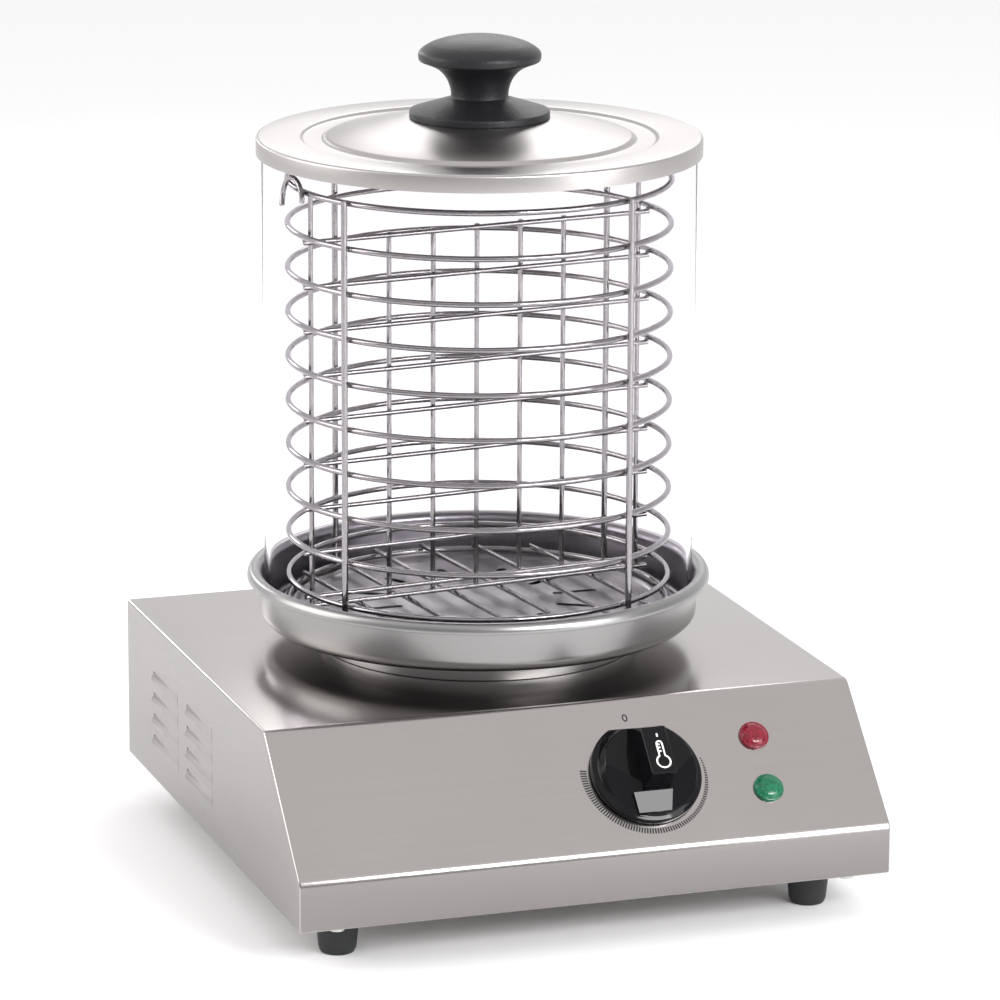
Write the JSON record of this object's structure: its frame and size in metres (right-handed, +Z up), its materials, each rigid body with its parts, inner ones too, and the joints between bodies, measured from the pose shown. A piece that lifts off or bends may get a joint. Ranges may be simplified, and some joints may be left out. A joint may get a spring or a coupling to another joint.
{
  "type": "hot_dog_steamer",
  "caption": "Countertop hot dog steamer: brushed steel base with sloped control panel, water pan, glass cylinder, wire basket and pressed lid",
  "frame": {"origin": "bottom centre of the rest bounding box, on the floor under the rubber feet", "axes": "+X to the right seen from the front, the control panel faces -Y, +Z up"},
  "size_m": [0.2832, 0.2884, 0.3827],
  "materials": {
    "brushed_stainless": "folded stainless sheet with a fine brushed grain",
    "pan_stainless": "spun stainless, fine turned marks",
    "lid_stainless": "pressed stainless with concentric brushing",
    "basket_chrome": "bright nickel-chrome plated wire",
    "clear_glass": "clear borosilicate glass with a faint cool tint",
    "black_plastic": "matte black moulded plastic",
    "gloss_black_plastic": "polished black moulded plastic",
    "black_rubber": "moulded black rubber",
    "red_lens": "clear red moulded lens",
    "green_lens": "clear green moulded lens",
    "plated_steel": "zinc plated steel",
    "heater_aluminium": "cast aluminium plate",
    "element_tube": "oxidised heater sheath",
    "copper_brass": "drawn copper and turned brass",
    "thermostat_plastic": "dark phenolic moulding",
    "pale_plastic": "pale moulded plastic"
  },
  "bodies": {
    "base": {"housing_shell": "brushed_stainless", "rear_panel": "brushed_stainless", "bottom_plate": "brushed_stainless", "bottom_plate_screws": "plated_steel", "rear_panel_screws": "plated_steel", "rubber_feet": "black_rubber", "foot_screws": "plated_steel", "foot_nuts": "plated_steel", "pan_collar": "pan_stainless", "water_pan": "pan_stainless", "pan_studs": "plated_steel", "pan_nuts": "plated_steel", "heat_spreader": "heater_aluminium", "heating_element": "element_tube", "element_clamp": "plated_steel", "clamp_stud": "plated_steel", "clamp_nut": "plated_steel", "thermostat_body": "thermostat_plastic", "thermostat_screws": "plated_steel", "red_pilot_lens": "red_lens", "red_pilot_body": "pale_plastic", "red_pilot_nut": "black_plastic", "green_pilot_lens": "green_lens", "green_pilot_body": "pale_plastic", "green_pilot_nut": "black_plastic", "sensor_bulb": "copper_brass", "sensor_clip": "plated_steel", "capillary_tube": "copper_brass", "thermal_cutout": "thermostat_plastic", "cable_gland": "black_plastic", "cable_gland_nut": "black_plastic", "terminal_block": "pale_plastic", "terminal_screws": "copper_brass", "earth_stud": "copper_brass", "earth_nut": "plated_steel"},
    "knob": {"control_knob": "gloss_black_plastic", "thermostat_shaft": "plated_steel"},
    "insert": {"steam_plate": "pan_stainless"},
    "glass": {"glass_cylinder": "clear_glass"},
    "basket": {"basket_ring_01": "basket_chrome", "basket_ring_02": "basket_chrome", "basket_ring_03": "basket_chrome", "basket_ring_04": "basket_chrome", "basket_ring_05": "basket_chrome", "basket_ring_06": "basket_chrome", "basket_ring_07": "basket_chrome", "basket_ring_08": "basket_chrome", "basket_ring_09": "basket_chrome", "basket_ring_10": "basket_chrome", "basket_ring_11": "basket_chrome", "basket_uprights": "basket_chrome", "basket_base": "basket_chrome", "basket_divider": "basket_chrome", "basket_hooks": "basket_chrome"},
    "lid": {"lid_plate": "lid_stainless", "lid_knob": "black_plastic", "lid_knob_washer": "plated_steel", "lid_knob_screw": "plated_steel"}
  },
  "joints": [
    {"name": "knob_turn", "type": "hinge", "parent": "base", "child": "knob", "pos_m": [0.0303, -0.11764, 0.06952], "axis": [0, 0.7071, -0.7071], "range_deg": [0, 270]},
    {"name": "insert_lift", "type": "slide", "parent": "base", "child": "insert", "axis": [0, 0, 1], "range_m": [0, 0.04]},
    {"name": "glass_lift", "type": "slide", "parent": "insert", "child": "glass", "axis": [0, 0, 1], "range_m": [0, 0.06]},
    {"name": "basket_lift", "type": "slide", "parent": "glass", "child": "basket", "axis": [0, 0, 1], "range_m": [0, 0.24]},
    {"name": "lid_lift", "type": "slide", "parent": "basket", "child": "lid", "axis": [0, 0, 1], "range_m": [0, 0.06]}
  ]
}
